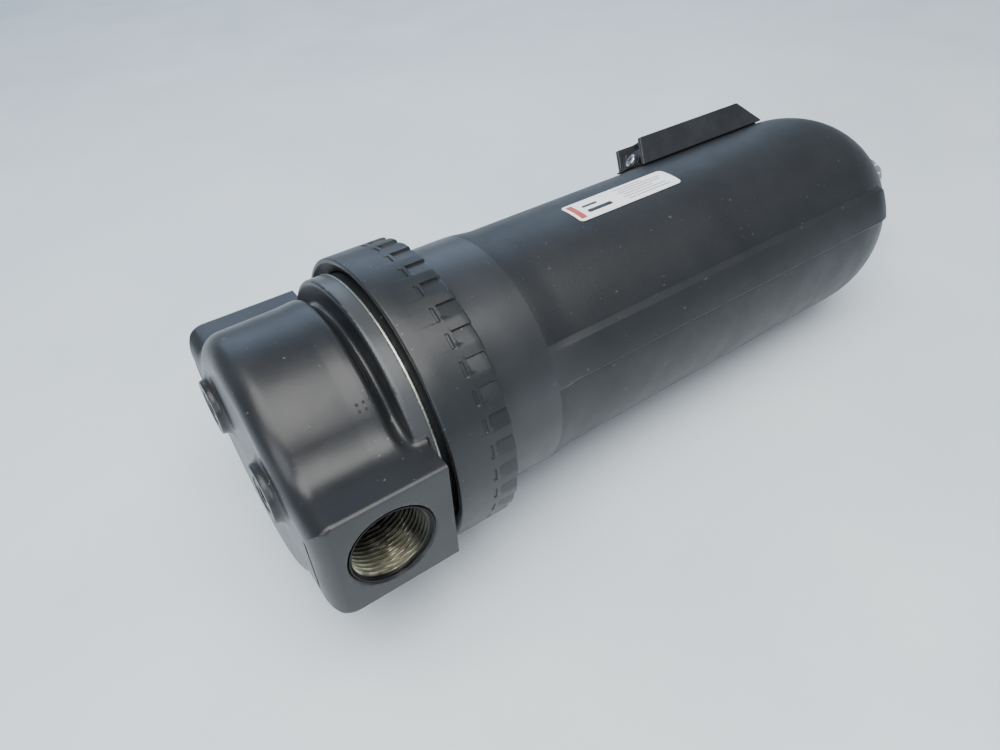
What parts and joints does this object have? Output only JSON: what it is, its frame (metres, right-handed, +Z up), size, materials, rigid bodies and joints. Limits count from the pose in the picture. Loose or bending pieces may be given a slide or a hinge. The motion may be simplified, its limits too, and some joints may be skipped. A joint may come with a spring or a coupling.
{
  "type": "compressed air filter",
  "caption": "Inline compressed air filter: cast head with opposed threaded ports, lock collar, long metal bowl with level gauge, filter element and float drain.",
  "frame": {"origin": "where the axis through both pipe ports crosses the axis of the bowl", "axes": "+X along the bowl from the head to the drain, -Y out of the inlet port, +Y out of the outlet port, +Z up with the filter lying on its side"},
  "size_m": [0.419, 0.14, 0.1314],
  "materials": {
    "head_paint": "semi-gloss black paint on cast aluminium",
    "bowl_paint": "fine-textured black paint",
    "black_plastic": "moulded, satin",
    "white_plastic": "moulded",
    "rubber": "nitrile rubber",
    "fibre": "pressed fibre washer",
    "steel": "zinc plated",
    "brass": "turned",
    "nickel": "nickel plated brass",
    "media": "pleated filter media",
    "label": "white printed film",
    "clear": "clear tube"
  },
  "bodies": {
    "head": {"head_casting": "head_paint", "gauge_port_plug_inlet": "head_paint", "gauge_port_plug_outlet": "head_paint", "deflector": "white_plastic", "element_gasket": "rubber", "element_top_cap": "black_plastic", "element_media": "media", "element_core": "steel", "element_bottom_cap": "black_plastic", "tie_rod": "steel", "element_washer": "steel", "element_nut": "steel", "quiet_zone_baffle": "black_plastic", "baffle_nut": "steel"},
    "bowl": {"bowl_casting": "bowl_paint", "bowl_o_ring": "rubber", "collar_slip_ring": "steel", "rating_label": "label", "gauge_guard": "black_plastic", "gauge_gasket": "rubber", "gauge_tube": "clear", "gauge_screw_upper": "steel", "gauge_screw_lower": "steel", "drain_body": "brass", "drain_seal": "rubber", "drain_washer": "fibre", "drain_nut": "brass", "float_stop": "steel"},
    "collar": {"lock_collar": "head_paint"},
    "drain_knob": {"drain_knob": "brass"},
    "drain_outlet": {"drain_stem": "nickel"},
    "float": {"drain_float": "white_plastic", "drain_valve_pin": "steel"}
  },
  "joints": [
    {"name": "bowl_pull_off", "type": "slide", "parent": "head", "child": "bowl", "axis": [1, 0, 0], "range_m": [0, 0.26]},
    {"name": "collar_turn", "type": "hinge", "parent": "bowl", "child": "collar", "pos_m": [0.0445, 0, 0], "axis": [1, 0, 0], "range_deg": [0, 900]},
    {"name": "drain_knob_turn", "type": "hinge", "parent": "bowl", "child": "drain_knob", "pos_m": [0.369, 0, 0], "axis": [1, 0, 0], "range_deg": [0, 180]},
    {"name": "drain_outlet_slide", "type": "slide", "parent": "bowl", "child": "drain_outlet", "axis": [1, 0, 0], "range_m": [0, 0.003]},
    {"name": "float_lift", "type": "slide", "parent": "bowl", "child": "float", "axis": [-1, 0, 0], "range_m": [0, 0.01]}
  ],
  "couplings": [
    {"joint": "drain_outlet_slide", "follows": "drain_knob_turn", "m_per_rad": 0.00095}
  ]
}
